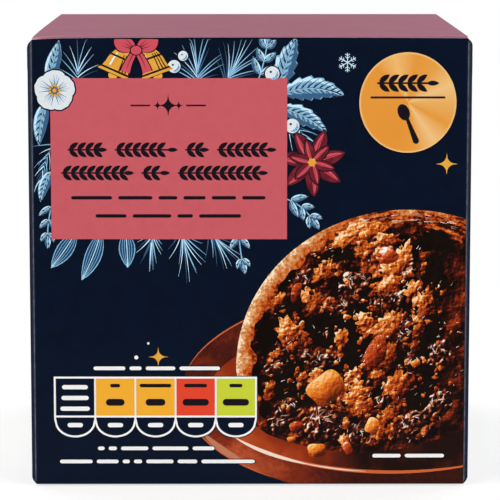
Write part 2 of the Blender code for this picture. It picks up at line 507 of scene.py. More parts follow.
def mottled(light, dark, size=3.0):
    """A solid field of ink: two near tones in clouds of this many millimetres, as a press lays it down."""

    def paint(tree, place, local):
        clouds = add(tree, "TexNoise", {"Vector": place, "Scale": per_mm(size), "Detail": 4.0})
        return add(tree, "ValToRGB", {0: clouds.outputs[0]}, stops=((0.3, dark), (0.7, light))).outputs[0]

    return paint


def foil_paint(tree, place, local):
    """Gold as printed foil: tones that turn round the middle like light on a brushed disc, and a paler rim."""
    round_middle = add(tree, "TexGradient", {"Vector": local}, gradient_type="RADIAL").outputs[1]
    tones = ((0, "E8983A"), (0.2, "E79536"), (0.28, "EA9C3C"), (0.35, "F3C383"), (0.42, "E99B3C"), (0.5, "EDB062"))
    tones += ((0.56, "F2C482"), (0.64, "E9A148"), (0.72, "E8983A"), (0.8, "F1BC70"), (0.87, "E8983A"), (1, "E8983A"))
    sheen = add(tree, "ValToRGB", {0: round_middle}, stops=tones)
    radius = add(tree, "VectorMath", {0: local}, operation="LENGTH").outputs["Value"]
    rim = add(tree, "MapRange", {0: radius, 1: 0.955, 2: 0.985}).outputs[0]
    return add(tree, "Mix", {0: rim, 6: sheen.outputs[0], 7: to_linear("F3C27C")}, data_type="RGBA").outputs[2]

def worn_navy_with_highlight(tree, place, local):
    """Deep navy ink, a little cloudy, and paler along the creases: rubbed ink there, with a painted highlight along
    each fold.
    """
    flat = mottled("031127", "020D20")(tree, place, local)
    # The crease lines: rubbed ink, and a painted highlight where each fold catches the light.
    wear_and_highlight = add(tree, "Attribute", attribute_name="wear_and_highlight").outputs["Fac"]
    broken = add(tree, "TexNoise", {"Vector": place, "Scale": per_mm(1.2), "Detail": 5.0})
    patchy = add(tree, "MapRange", {0: broken.outputs[0], 1: 0.35, 2: 0.65, 3: 0.55, 4: 1.0}).outputs[0]
    amount = add(tree, "Math", {0: wear_and_highlight, 1: patchy}, operation="MULTIPLY").outputs[0]
    return add(tree, "Mix", {0: amount, 6: flat, 7: to_linear("6B6E82")}, data_type="RGBA").outputs[2]


def worn_rose_with_painted_light(tree, place, local):
    """Rose ink, a little cloudy, darker and greyer than the label's rose: painted shade and sheen on the lids.
    It is paler where the board is creased: rubbed ink there, with a painted highlight along each fold.
    """
    flat = mottled("9C5D70", "96586B", 6.0)(tree, place, local)
    wear_and_highlight = add(tree, "Attribute", attribute_name="wear_and_highlight").outputs["Fac"]
    amount = add(tree, "Math", {0: wear_and_highlight, 1: 0.7}, operation="MULTIPLY").outputs[0]
    return add(tree, "Mix", {0: amount, 6: flat, 7: to_linear("D9A9B0")}, data_type="RGBA").outputs[2]


def bare_board(name, light, dark, size):
    """Uncoated greyback board: the eye gets a dull, warm grey with fibres and specks of this many millimetres."""
    return printed(name, light, mottled(light, dark, size), roughness=0.85, specular=0.3)


def mark_wear_and_highlight(piece, front_inset=0.0):
    """Marks two fine lines along each fold, where the ink is rubbed and a highlight is painted. The closeness to
    the box's three nearest planes is sorted, and the sum of the two least is small at an outer edge only."""
    points = np.empty(len(piece.data.vertices) * 3)
    piece.data.vertices.foreach_get("co", points)
    x, y, z = points.reshape(-1, 3).T
    away_y = np.minimum(y + HALF_DEPTH - front_inset, HALF_DEPTH - y)
    away = np.stack([HALF_WIDTH - np.abs(x), away_y, np.minimum(z, LID_LEVEL - z)])
    nearest = np.sort(np.maximum(away, 0), axis=0)[:2].sum(axis=0)
    # Rubbed ink and painted highlight: a narrow band 0.86 of the fold's radius in from the edges.
    wear_and_highlight = np.exp(-(((nearest / CORNER_FOLD - 0.86) / 0.09) ** 2))
    piece.data.attributes.new("wear_and_highlight", "FLOAT", "POINT").data.foreach_set("value", wear_and_highlight)


def lit(tree, height, place, reach, strength):
    """How much a bumpy picture is lit from the upper left: its height here less its height a little nearer the
    light, times the strength."""
    nearer = add(tree, "VectorMath", {0: place, 1: (-reach * MM, 0, reach * MM)}, operation="ADD").outputs[0]
    slope = add(tree, "Math", {0: height(tree, place), 1: height(tree, nearer)}, operation="SUBTRACT").outputs[0]
    return add(tree, "Math", {0: slope, 1: strength}, operation="MULTIPLY").outputs[0]


def total(tree, *values):
    """The sum of values or sockets."""
    so_far = values[0]
    for value in values[1:]:
        so_far = add(tree, "Math", {0: so_far, 1: value}, operation="ADD").outputs[0]
    return so_far


def scaled(tree, value, low, high, first, last):
    """A value carried from one span to another, and held at its ends."""
    return add(tree, "MapRange", {0: value, 1: low, 2: high, 3: first, 4: last}).outputs[0]


def noise(tree, place, size, detail=3.0, roughness=0.55):
    spots = {"Vector": place, "Scale": per_mm(size), "Detail": detail, "Roughness": roughness}
    return add(tree, "TexNoise", spots).outputs[0]


def crumb_height(tree, place):
    """A cut pudding: clumps of 5 mm, rough lumps of 2 mm and finer, and a few round ones of 1.7 mm."""
    lumps = add(tree, "TexVoronoi", {"Vector": place, "Scale": per_mm(2.3)}, feature="SMOOTH_F1").outputs[0]
    lumpy = add(tree, "Math", {0: lumps, 1: -0.22}, operation="MULTIPLY").outputs[0]
    return total(tree, noise(tree, place, 5.0, 2.0), lumpy, noise(tree, place, 2.2, 5.0, 0.68))


CRUMB = (
    (0, "0B0301"), (0.2, "1A0704"), (0.36, "461307"), (0.5, "8A2B0D"), (0.64, "C0521A"), (0.8, "E8903E"), (1, "FFE0B6"),
)


def fall_of_light(tree, place, shade):
    """How the light falls on the pudding: stronger at its top, and weaker by this shade over its right part."""
    parts = add(tree, "SeparateXYZ", {0: place})
    right = scaled(tree, parts.outputs[0], 25 * MM, 37 * MM, 0.0, -shade)
    return total(tree, right, scaled(tree, parts.outputs[2], 36 * MM, 46 * MM, 0.0, 0.08))


def crumb_paint(tree, place, local):
    """Dark fruit cake, cut and lit from the upper left: black hollows, rust-brown crumb and pale orange edges."""
    bumps = lit(tree, crumb_height, place, 0.3, 2.6)
    clumps = scaled(tree, noise(tree, place, 5.0, 2.0), 0.32, 0.68, -0.25, 0.6)
    tone = total(tree, bumps, clumps, fall_of_light(tree, place, 0.25), 0.02)
    return add(tree, "ValToRGB", {0: tone}, stops=CRUMB).outputs[0]


def side_paint(tree, place, local):
    """The pudding's dark outer side in the shade, with a few dull brown grains."""
    bumps = lit(tree, crumb_height, place, 0.3, 1.5)
    tone = total(tree, bumps, scaled(tree, noise(tree, place, 4.0, 2.0), 0.35, 0.7, 0.14, 0.48))
    return add(tree, "ValToRGB", {0: tone}, stops=CRUMB).outputs[0]


def skin_paint(tree, place, local):
    """The pudding's steamed skin: from a pale lit edge through speckled tan to orange at the cut. Over the top
    it turns to glossy brown, with streaks along it."""
    parts = add(tree, "SeparateXYZ", {0: local})
    along, depth = parts.outputs[0], parts.outputs[1]
    speckles = scaled(tree, noise(tree, place, 0.5), 0.2, 0.8, -0.45, 0.45)
    patches = scaled(tree, noise(tree, place, 3.0), 0.2, 0.8, -0.25, 0.25)
    lengthways = add(tree, "VectorMath", {0: local, 1: (17, 6, 1)}, operation="MULTIPLY").outputs[0]
    streaks = add(tree, "TexNoise", {"Vector": lengthways, "Scale": 1.0, "Detail": 4.0, "Roughness": 0.62})
    streaky = scaled(tree, streaks.outputs[0], 0.3, 0.7, -0.05, 0.95)
    over_top = scaled(tree, along, 0.5, 0.78, 0.0, 1.15)
    turned = add(tree, "Math", {0: streaky, 1: over_top}, operation="MULTIPLY").outputs[0]
    stops = ((0, "FFE4C2"), (0.08, "EAB280"), (0.3, "D08A50"), (0.5, "CC621C"), (0.7, "AE3E0E"), (0.86, "661C08"), (1, "260A04"))
    return add(tree, "ValToRGB", {0: total(tree, depth, speckles, patches, turned)}, stops=stops).outputs[0]


def dome_paint(stops, grain, bumps, roundness=1.0):
    """A lump lit from the upper left: its round form, its own tone, and the grains on it."""
    towards_light = (-0.24 * roundness, 0.3 * roundness, 0.3)

    def paint(tree, place, local):
        form = add(tree, "VectorMath", {0: local, 1: towards_light}, operation="DOT_PRODUCT").outputs["Value"]
        relief = lit(tree, lambda tree, where: noise(tree, where, grain, 5.0, 0.66), place, 0.25, bumps)
        light = fall_of_light(tree, place, 0.2)
        return add(tree, "ValToRGB", {0: total(tree, form, relief, light, 0.31)}, stops=stops).outputs[0]

    return paint


def wrinkle_height(tree, place):
    """Wrinkled skin: folds about 1 mm apart that wander."""
    folded = add(tree, "Math", {0: noise(tree, place, 1.9, 1.5), 1: 0.5}, operation="SUBTRACT").outputs[0]
    return add(tree, "Math", {0: folded}, operation="ABSOLUTE").outputs[0]


def raisin_paint(tree, place, local):
    """Glossy dark raisins: near black, wine brown on the lit folds, and wet lights along their crests."""
    form = add(tree, "VectorMath", {0: local, 1: (-0.16, 0.2, 0.12)}, operation="DOT_PRODUCT").outputs["Value"]
    folds = lit(tree, wrinkle_height, place, 0.2, 7.0)
    stops = ((0, "0A0403"), (0.34, "200B07"), (0.54, "54180E"), (0.7, "94401F"), (0.84, "CC8A66"), (1, "F8E6DA"))
    return add(tree, "ValToRGB", {0: total(tree, form, folds, 0.26)}, stops=stops).outputs[0]


def plate_paint(tree, place, local):
    """A wine-brown glazed plate: nearly black behind the pudding, lit to terracotta low on its left rim."""
    parts = add(tree, "SeparateXYZ", {0: place})
    left = scaled(tree, parts.outputs[0], -8 * MM, 19 * MM, 1.0, 0.05)
    low = scaled(tree, parts.outputs[2], 3 * MM, 15 * MM, 0.76, 0.05)
    smears = scaled(tree, noise(tree, place, 6.0, 3.0), 0.4, 0.75, 0.0, 0.34)
    lighted = add(tree, "Math", {0: left, 1: total(tree, low, smears)}, operation="MULTIPLY").outputs[0]
    fine = scaled(tree, noise(tree, place, 0.7, 3.0), 0.3, 0.7, -0.07, 0.07)
    stops = ((0, "2C0E08"), (0.2, "4E180E"), (0.42, "822B13"), (0.66, "B4502C"), (1, "DE8A62"))
    return add(tree, "ValToRGB", {0: total(tree, lighted, fine)}, stops=stops).outputs[0]


def well_paint(tree, place, local):
    """The plate's inside: warm red-brown, brighter near the light edge and black in the pudding's shade."""
    parts = add(tree, "SeparateXYZ", {0: place})
    low = scaled(tree, parts.outputs[2], 3 * MM, 13 * MM, 0.68, 0.52)
    shade = scaled(tree, parts.outputs[0], 9 * MM, 21 * MM, 0.0, -0.7)
    smears = scaled(tree, noise(tree, place, 6.0, 3.0), 0.3, 0.75, -0.12, 0.2)
    stops = ((0, "1C0905"), (0.3, "5A1C0C"), (0.55, "902E0E"), (0.8, "BC4E22"), (1, "DC8052"))
    return add(tree, "ValToRGB", {0: total(tree, low, shade, smears)}, stops=stops).outputs[0]


# ------------------------------------------------------------------------------------------------------ motifs

ORANGE = ((0, "150502"), (0.2, "4C1206"), (0.38, "962E0E"), (0.58, "C85A18"), (0.78, "EF973A"), (1, "FFE0B4"))
AMBER = ((0, "4A1A06"), (0.28, "A23C0C"), (0.5, "D9681A"), (0.75, "F29836"), (1, "FFD695"))
RUBY = ((0, "1C0704"), (0.3, "701C08"), (0.55, "B83D12"), (0.75, "DE6E36"), (0.9, "F4B090"), (1, "FFF3E8"))

INKS = {
    name: Ink(name.replace(" ", "_"), printed(name + " ink", colour, paint))
    for name, colour, paint in (
        ("plate", "6B241A", plate_paint),
        ("plate well", "8C3216", well_paint),
        ("plate light", "F3D9C4", None),
        ("plate glow", "CC6234", None),
        ("plate blush", "BF785A", None),
        ("pudding side", "1C0B05", side_paint),
        ("pudding skin", "D39460", skin_paint),
        ("pudding crumb", "6A2B12", crumb_paint),
        ("hollow", "0F0603", mottled("160A05", "090301", 1.5)),
        ("crumbs", "C4671F", dome_paint(ORANGE, 1.9, 3.0)),
        ("peel", "E5851D", dome_paint(AMBER, 2.4, 1.9, 1.5)),
        ("cherry", "B4481A", dome_paint(RUBY, 2.2, 2.2)),
        ("raisins", "1E0D0A", raisin_paint),
        ("glint", "F7EEE8", None),
        ("soft glint", "C2957A", None),
        ("leaf outline", "051023", None),
        ("leaf blue", "3C6285", None),
        ("leaf deep", "1D4468", None),
        ("leaf light", "89BDE0", None),
        ("leaf bright", "CDEEFF", None),
        ("berry white", "E2E8EC", None),
        ("gold", "E8A93F", mottled("EDB045", "E09C34", 1.5)),
        ("bright red", "D2505E", None),
        ("dark red", "6E1F2B", mottled("7C2531", "571621", 1.2)),
        ("label rose", "C95C64", mottled("CB5D66", "C75961", 2.0)),
        ("lettering black", "161019", None),
        ("medal foil", "EBA04A", foil_paint),
        ("panel cream", "EDE3DA", mottled("EFE6DE", "E9DED3", 4.0)),
        ("line white", "F2F1EF", None),
        ("cell navy", "020F24", None),
        ("cell amber", "F1AC30", None),
        ("cell red", "E2452C", None),
        ("cell green", "C7D138", None),
    )
}


def lay(name, panel, shape, layer, tone=None):
    INKS[name].lay(panel, shape, layer, tone)


def words(name, panel, left, v, height, lengths, gap=0.9, layer=12):
    """A line of greeked words: round-ended bars of these lengths, from left to right."""
    u = left
    for length in lengths:
        lay(name, panel, bar(u, v, length, height), layer)
        u += length + gap


def sprig(name, panel, left, v, length, size=1.0, layer=12):
    """A bold word's place: a plain level sprig with pairs of small leaves."""
    pitch = 1.3 * size
    count = max(int((length - 1.2 * size) / pitch), 1)
    lay(name, panel, bar(left, v, length - 0.8 * size, 0.26 * size), layer)
    for u in left + 0.35 * size + pitch * np.arange(count):
        for side in (-1, 1):
            lay(name, panel, blade(u, v, 1.85 * size, 0.78 * size, 50 * side, -22 * side, 0.9, 0.75, 6), layer)
    lay(name, panel, blade(left + length - 1.7 * size, v, 1.7 * size, 0.7 * size, 0, 0, 0.9, 0.75, 6), layer)


def point_on(u, v, length, heading, turn, share):
    """The point at this share of an arc, and the heading there."""
    path_u, path_v = arc_path(u, v, length * share, heading, turn * share)
    return path_u[-1], path_v[-1], heading + turn * share


def leaf(panel, u, v, length, width, heading, turn=0.0, layer=1, belly=0.8, veins=6, teeth=0):
    """An engraved leaf: dark edge, pale body, shadow along one side and light along the other, dark veins with
    short hatching between them, and a midrib. Its edge can have teeth."""

    def part(name, at, size=1.0, wide=1.0, sides=(-1, 1)):
        shape = blade(u, v, length * size, width * wide, heading, turn, belly, sides=sides, teeth=teeth)
        lay(name, panel, shape, layer + at)

    side = 1 if math.cos(math.radians(heading)) > 0 else -1
    part("leaf outline", 0, 1 + 0.3 / length, 1 + 0.45 / width)
    part("leaf light", 1)
    part("leaf blue", 2, 0.97, 1, sorted((-0.45 * side, -1.0 * side)))
    part("leaf bright", 2, 0.95, 1, sorted((0.62 * side, 0.95 * side)))
    for share in np.linspace(0.1, 0.88, veins):
        vein_u, vein_v, way = point_on(u, v, length, heading, turn, share)
        half = width / 2 * math.sin(math.pi * share**belly) ** 0.8
        for lean in (-side, side):
            name = "leaf outline" if lean == side else "leaf blue"
            lay(name, panel, needle(vein_u, vein_v, half * 1.2, 0.24, way + 42 * lean, -15 * lean), layer + 3)
            if half > 0.8:
                hatch = needle(vein_u, vein_v, half * 0.7, 0.13, way + 58 * lean, -10 * lean)
                lay("leaf blue", panel, hatch, layer + 3)
    lay("leaf outline", panel, stroke(arc_path(u, v, length * 0.96, heading, turn), 0.24), layer + 3)
    lay("leaf bright", panel, stroke(arc_path(u, v, length * 0.92, heading, turn), 0.1), layer + 4)


def lined_leaf(panel, u, v, length, width, heading, turn=0.0, layer=2):
    """A leaf drawn in lines: a pale edge, a deep blue body, and fine lines that follow its sides."""
    lay("leaf outline", panel, blade(u, v, length + 0.2, width + 0.35, heading, turn, 0.9), layer)
    lay("leaf light", panel, blade(u, v, length, width, heading, turn, 0.9), layer + 1)
    body = blade(u, v, length * 0.97, width - 0.36, heading, turn, 0.9, steps=12, across=6)
    lay("leaf deep", panel, body, layer + 2)
    for column in range(1, 6):
        name = "leaf bright" if column == 3 else "leaf light"
        lay(name, panel, stroke((body[0][:, column], body[1][:, column]), 0.14 if column == 3 else 0.09), layer + 3)


def twig(panel, u, v, length, heading, turn=0.0, pairs=4, leaf_length=3.4, leaf_width=1.2, layer=1, veins=3):
    """A twig with pairs of small leaves, and one at its end."""
    lay("leaf light", panel, stroke(arc_path(u, v, length, heading, turn), 0.22), layer)
    for share in np.linspace(0.15, 0.9, pairs):
        foot_u, foot_v, way = point_on(u, v, length, heading, turn, share)
        size = leaf_length * (1.1 - 0.4 * share) * DICE.uniform(0.9, 1.1)
        for side in (-1, 1):
            leaf(panel, foot_u, foot_v, size, leaf_width, way + side * 48, -18 * side, layer, veins=veins)
    tip_u, tip_v, way = point_on(u, v, length, heading, turn, 1)
    leaf(panel, tip_u, tip_v, leaf_length * 0.8, leaf_width, way, 0, layer, veins=veins)


def fir(panel, u, v, length, heading, turn=0.0, needles=11, reach=4.5, spread=46, layer=1):
    """A fir twig: long needles that sweep forward on both sides, each a dark-edged line in one of three blues."""
    lay("leaf blue", panel, stroke(arc_path(u, v, length, heading, turn), 0.3), layer)
    for share in np.linspace(0.02, 1, needles):
        foot_u, foot_v, way = point_on(u, v, length, heading, turn, share)
        for side in (-1, 1):
            size = reach * (1 - 0.3 * share) * DICE.uniform(0.75, 1.2)
            way_out = way + side * spread * DICE.uniform(0.55, 1.3) * (1.1 - 0.55 * share)
            name = ("leaf light", "leaf bright", "leaf light", "leaf blue")[DICE.integers(4)]
            bend_in = -side * DICE.uniform(4, 40)
            lay("leaf outline", panel, needle(foot_u, foot_v, size, 0.4, way_out, bend_in), layer + 1)
            lay(name, panel, needle(foot_u, foot_v, size, DICE.uniform(0.13, 0.22), way_out, bend_in), layer + 2)


def spray(panel, u, v, heading, spread, count, reach, layer=1):
    """Long fir needles that fan out from a short stem: the nearer to its heading, the higher up they start."""
    for place in np.linspace(-1, 1, count):
        foot_u, foot_v, _ = point_on(u, v, 2.4 * (1 - abs(place)), heading, 0, 1)
        way = heading + spread * place + DICE.uniform(-5, 5)
        size = reach * (1 - 0.3 * place**2) * DICE.uniform(0.8, 1.1)
        name = ("leaf light", "leaf bright", "leaf light", "leaf blue")[DICE.integers(4)]
        sweep = 22 * place + DICE.uniform(-10, 10)
        lay("leaf outline", panel, needle(foot_u, foot_v, size, 0.42, way, sweep), layer + 1)
        lay(name, panel, needle(foot_u, foot_v, size, DICE.uniform(0.16, 0.25), way, sweep), layer + 2)


def berry(panel, u, v, radius, layer=5):
    """A white berry with a dark edge, a blue shadow on its lower right, and a dark eye."""
    lay("leaf outline", panel, disc(u, v, radius + 0.22), layer)
    lay("berry white", panel, disc(u, v, radius), layer + 1)
    swing = np.radians(np.linspace(-115, 35, 13))
    shadow = (u + 0.72 * radius * np.cos(swing), v + 0.72 * radius * np.sin(swing))
    lay("leaf light", panel, ribbon(shadow, 0.2 * radius * np.sin(np.linspace(0.05, 3.09, 13))), layer + 2)
    lay("leaf outline", panel, disc(u - 0.2 * radius, v + 0.25 * radius, 0.16 * radius, cells=4), layer + 2)
    for tick in (-70, -40, -15):
        way = math.radians(tick)
        foot = (u + 0.55 * radius * math.cos(way), v + 0.55 * radius * math.sin(way))
        lay("leaf blue", panel, needle(*foot, 0.33 * radius, 0.12, tick), layer + 3)


def snow_rose(panel, u, v, size, layer=5):
    """A winter rose: five broad white petals with blue strokes from their feet, round gold stamens."""
    for number in range(5):
        way = 90 + 72 * number
        lay("leaf outline", panel, blade(u, v, size + 0.25, size * 1.12 + 0.4, way, 8, 1.35, 0.5, 12, 4), layer)
        lay("berry white", panel, blade(u, v, size, size * 1.12, way, 8, 1.35, 0.5, 12, 4), layer + 1)
        for lean in (-22, -11, 0, 11, 22):
            name = "leaf light" if lean % 22 else "leaf blue"
            lay(name, panel, needle(u, v, size * DICE.uniform(0.6, 0.8), 0.2, way + lean, 4), layer + 2)
    lay("leaf blue", panel, disc(u, v, size * 0.24), layer + 3)
    for number in range(9):
        way = math.radians(40 * number)
        lay("gold", panel, disc(u + 0.24 * size * math.cos(way), v + 0.24 * size * math.sin(way), 0.26, cells=4), layer + 4)
    lay("gold", panel, disc(u, v, size * 0.1, cells=4), layer + 4)


def poinsettia(panel, u, v, size, layer=5):
    """A star flower of dark red bracts with bright veins, and gold beads in its middle."""
    for ring, (count, reach, start) in enumerate(((7, 1.0, 12), (6, 0.68, 40))):
        for number in range(count):
            way = start + 360 / count * number
            at = layer + 3 * ring
            length, width = size * reach, size * 0.4 * reach
            lay("lettering black", panel, blade(u, v, length + 0.25, width + 0.35, way, 10, 0.95, 0.7), at)
            lay("dark red", panel, blade(u, v, length, width, way, 10, 0.95, 0.7), at + 1)
            lay("bright red", panel, blade(u, v, length * 0.93, width * 0.6, way, 10, 0.95, 0.7, sides=(0.3, 1)), at + 2)
            lay("bright red", panel, stroke(arc_path(u, v, length * 0.9, way, 10), 0.14), at + 2)
    for number in range(6):
        way = math.radians(60 * number)
        lay("gold", panel, disc(u + 0.5 * math.cos(way), v + 0.5 * math.sin(way), 0.3, cells=4), layer + 7)
    lay("gold", panel, disc(u, v, 0.32, cells=4), layer + 7)


def star(name, panel, u, v, radius, layer=5):
    """A four-pointed star: radius / (|cos|^0.5 + |sin|^0.5)²."""

    def outline(angle):
        return (np.abs(np.cos(angle)) ** 0.5 + np.abs(np.sin(angle)) ** 0.5) ** -2.0

    lay(name, panel, disc(u, v, radius, cells=16, outline=outline), layer)


def snowflake(panel, u, v, size, layer=2):
    """Six straight arms, each with two pairs of barbs."""
    for way in range(30, 390, 60):
        lay("leaf bright", panel, stroke(arc_path(u, v, size, way, 0, 2), 0.16), layer)
        for share in (0.45, 0.72):
            foot_u, foot_v, _ = point_on(u, v, size, way, 0, share)
            for side in (-1, 1):
                lay("leaf bright", panel, stroke(arc_path(foot_u, foot_v, size * 0.3, way + 55 * side, 0, 2), 0.13), layer)


def bell(panel, u, v, size, lean, layer=2):
    """A hand bell that hangs by its crown from (u, v): its half-width grows as 0.2 + 0.32·share^1.4 and flares
    out at the rim."""
    steps = 16
    share = np.linspace(0, 1, steps + 1)
    half = size * (0.1 + 0.3 * np.sin(np.pi / 2 * np.minimum(share * 1.6, 1)) ** 0.8 + 0.2 * share**5)
    way = -90 + lean
    end_u, end_v, _ = point_on(u, v, size, way, 0, 1.04)
    for name, extra, at in (("lettering black", 0.2, 0), ("gold", 0, 1)):
        lay(name, panel, disc(end_u, end_v, 0.16 * size + extra, cells=6), layer + at)
        lay(name, panel, ribbon(arc_path(u, v, size + extra / 2, way, 0, steps), half + extra, 4), layer + 2 + at)
    for side in (0.25, 0.5, 0.72):
        path = arc_path(u, v, size, way, 0, steps)
        strip = ribbon(path, half, 2, sides=(side, side + 0.09))
        lay("lettering black", panel, [grid[4:-2] for grid in strip], layer + 4)
    lay("line white", panel, [grid[4:-4] for grid in ribbon(path, half, 1, sides=(-0.62, -0.46))], layer + 4)
    band = ribbon(path, half, 6)
    for row in (5, 13):
        lay("lettering black", panel, [grid[row : row + 2] * 0.5 + grid[row + 1 : row + 3] * 0.5 for grid in band], layer + 5)


def bow(panel, u, v, size, layer=8):
    """A ribbon bow: two tails, two loops and a knot, each with a dark edge and creases."""
    for side in (-1, 1):
        for name, extra, at in (("lettering black", 0.18, 0), ("bright red", 0, 1)):
            tail = arc_path(u, v, size * 1.05, -90 + 38 * side, -22 * side, 8)
            lay(name, panel, ribbon(tail, size * np.linspace(0.1, 0.2, 9) + extra), layer + at)
            loop = blade(u, v, size * 1.05 + extra, size * 0.72 + 2 * extra, 90 - 58 * side, -12 * side, 1.25, 0.6, 12, 4)
            lay(name, panel, loop, layer + 2 + at)
        for lean in (-16, 0, 14):
            lay("dark red", panel, needle(u, v, size * 0.62, 0.22, 90 - 58 * side + lean), layer + 4)
        lay("dark red", panel, needle(u, v, size * 0.9, 0.2, -90 + 38 * side, -22 * side), layer + 2)
    for name, extra, at in (("lettering black", 0.16, 0), ("bright red", 0, 1)):
        lay(name, panel, disc(u, v, size * 0.19 + extra, 1.2, cells=6), layer + 5 + at)


# ------------------------------------------------------------------------------------------------- front print


def ellipse_field(u, v, half_u, half_v, rows=24, columns=64):
    """An ellipse, cut off at the panel's print edges."""
    last = math.acos(np.clip((u - SIDE_U) / half_u, -1, 1))
    us = u - half_u * np.cos(np.linspace(0, last, columns + 1))
    reach = half_v * np.sqrt(np.maximum(1 - ((us - u) / half_u) ** 2, 0))
    return between(us, np.clip(v - reach, BASE_V, RIM_V), np.clip(v + reach, BASE_V, RIM_V), rows)


PLATE = (70.0, 17.2, 42.5, 19.8)  # the plate's ellipse: its middle and its half sizes
WELL = (66.0, 16.5, 34.0, 14.0)


def plate_arc(ellipse, first, last, width, steps=40):
    """A tapering line along an ellipse from the angle first to last: half-width = width · sin(π · share)^0.8."""
    u, v, half_u, half_v = ellipse
    way = np.radians(np.linspace(first, last, steps))
    half = width * np.sin(np.pi * np.linspace(0.02, 0.98, steps)) ** 0.8
    return ribbon((u + half_u * np.cos(way), v + half_v * np.sin(way)), half)


def plate():
    """The plate under the pudding: rim, inside, and the lights along its edges."""
    lay("plate", "front", ellipse_field(*PLATE), 1, 0.5)
    lay("plate well", "front", ellipse_field(*WELL), 2, 0.5)
    lay("plate glow", "front", plate_arc(WELL, 208, 305, 0.32), 3)
    lay("plate light", "front", plate_arc(WELL, 212, 244, 0.34), 4)
    lay("plate light", "front", plate_arc(WELL, 240, 262, 0.12), 4)
    lay("plate glow", "front", plate_arc(PLATE, 168, 122, 0.12), 3)
    lay("plate glow", "front", plate_arc(PLATE, 200, 232, 0.14), 3)
    lay("plate blush", "front", plate_arc((70.0, 17.2, 41.8, 19.1), 202, 224, 0.55), 4)


DOME_U, DOME_V, DOME_HALF_U, DOME_HALF_V = 68.5, 22.1, 31.0, 28.9


def pudding_outline(way, inset):
    """The dome's outline at an angle in degrees, moved in by inset. Below its middle the dome draws in to its
    foot, with a height of 0.52 of the upper one's."""
    angle = np.radians(way)
    low = np.where(np.sin(angle) < 0, 0.56, 1.0)
    return (
        DOME_U + (DOME_HALF_U - inset) * np.cos(angle),
        DOME_V + (DOME_HALF_V * low - inset) * np.sin(angle),
    )


def crumb_field(middle_u=60.0, middle_v=24.0, right=74.6, low=7.6):
    """The cut face, round its middle: how far each direction reaches is the soft least, (Σ r^-7)^(-1/7), of the
    distances to the skin, to the shaded side and to the foot. It strays a little from that."""
    angle = np.radians(np.linspace(0, 360, 145))
    cos, sin = np.cos(angle), np.sin(angle)
    half_u, half_v = DOME_HALF_U - 2.9, DOME_HALF_V - 2.8
    away_u, away_v = (middle_u - DOME_U) / half_u, (middle_v - DOME_V) / half_v
    a = (cos / half_u) ** 2 + (sin / half_v) ** 2
    b = away_u * cos / half_u + away_v * sin / half_v
    to_skin = (np.sqrt(b**2 - a * (away_u**2 + away_v**2 - 1)) - b) / a
    to_side = (right - middle_u) / np.maximum(cos, 0.01)
    to_foot = (middle_v - low) / np.maximum(-sin, 0.01)
    reach = (to_skin**-7 + to_side**-7 + to_foot**-7) ** (-1 / 7) * uneven(0.022, (7, 12, 19, 31))(angle)
    share = np.linspace(0.02, 1, 20)[:, None]
    u, v = middle_u + reach * cos * share, middle_v + reach * sin * share
    return u, v, np.broadcast_to(share, u.shape), np.zeros(u.shape)


